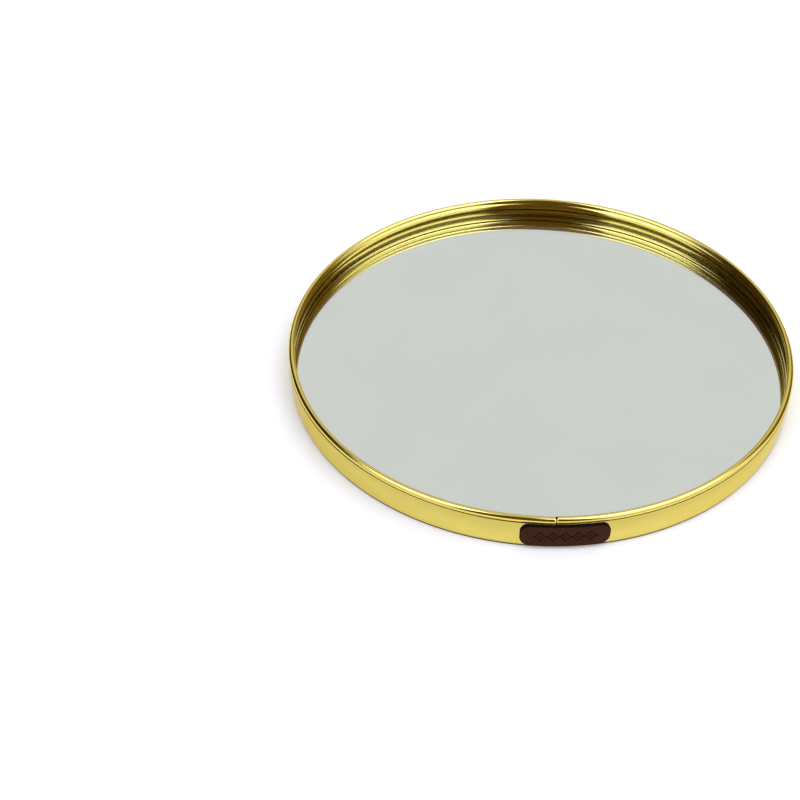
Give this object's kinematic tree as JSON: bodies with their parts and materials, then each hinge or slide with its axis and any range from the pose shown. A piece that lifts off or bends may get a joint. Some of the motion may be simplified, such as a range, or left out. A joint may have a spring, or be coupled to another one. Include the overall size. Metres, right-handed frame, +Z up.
{
  "type": "round mirror tray",
  "caption": "Low round tray for candles, bottles or jars: a mirror floor in a polished gold metal rim with a rounded bead, a small leather-like label and a felt underside.",
  "frame": {"origin": "centre of the felt underside, on the surface that the tray stands on", "axes": "+Z up through the middle of the mirror, -Y towards the label at the front, +X to the right when the label faces the viewer"},
  "size_m": [0.3, 0.3015, 0.021],
  "materials": {
    "gold_aluminium": "polished and gold anodised, with fine lengthwise draw lines",
    "clear_glass": "clear float glass with ground edges",
    "silver_coat": "mirror silvering with backing paint",
    "foam_tape": "white foam adhesive pad",
    "fibre_board": "raw medium-density fibreboard",
    "dark_felt": "dark pressed felt",
    "plain_steel": "zinc plated",
    "adhesive_tape": "double-sided adhesive film",
    "label_leather": "dark brown leather-like patch, fine grain, satin"
  },
  "bodies": {
    "root": {"rim_profile": "gold_aluminium", "mirror_glass": "clear_glass", "mirror_silvering": "silver_coat", "mirror_tape_pads": "foam_tape", "base_board": "fibre_board", "base_felt": "dark_felt", "splice_strip": "plain_steel", "splice_screws": "plain_steel", "label_tape": "adhesive_tape", "label_patch": "label_leather"}
  },
  "joints": []
}
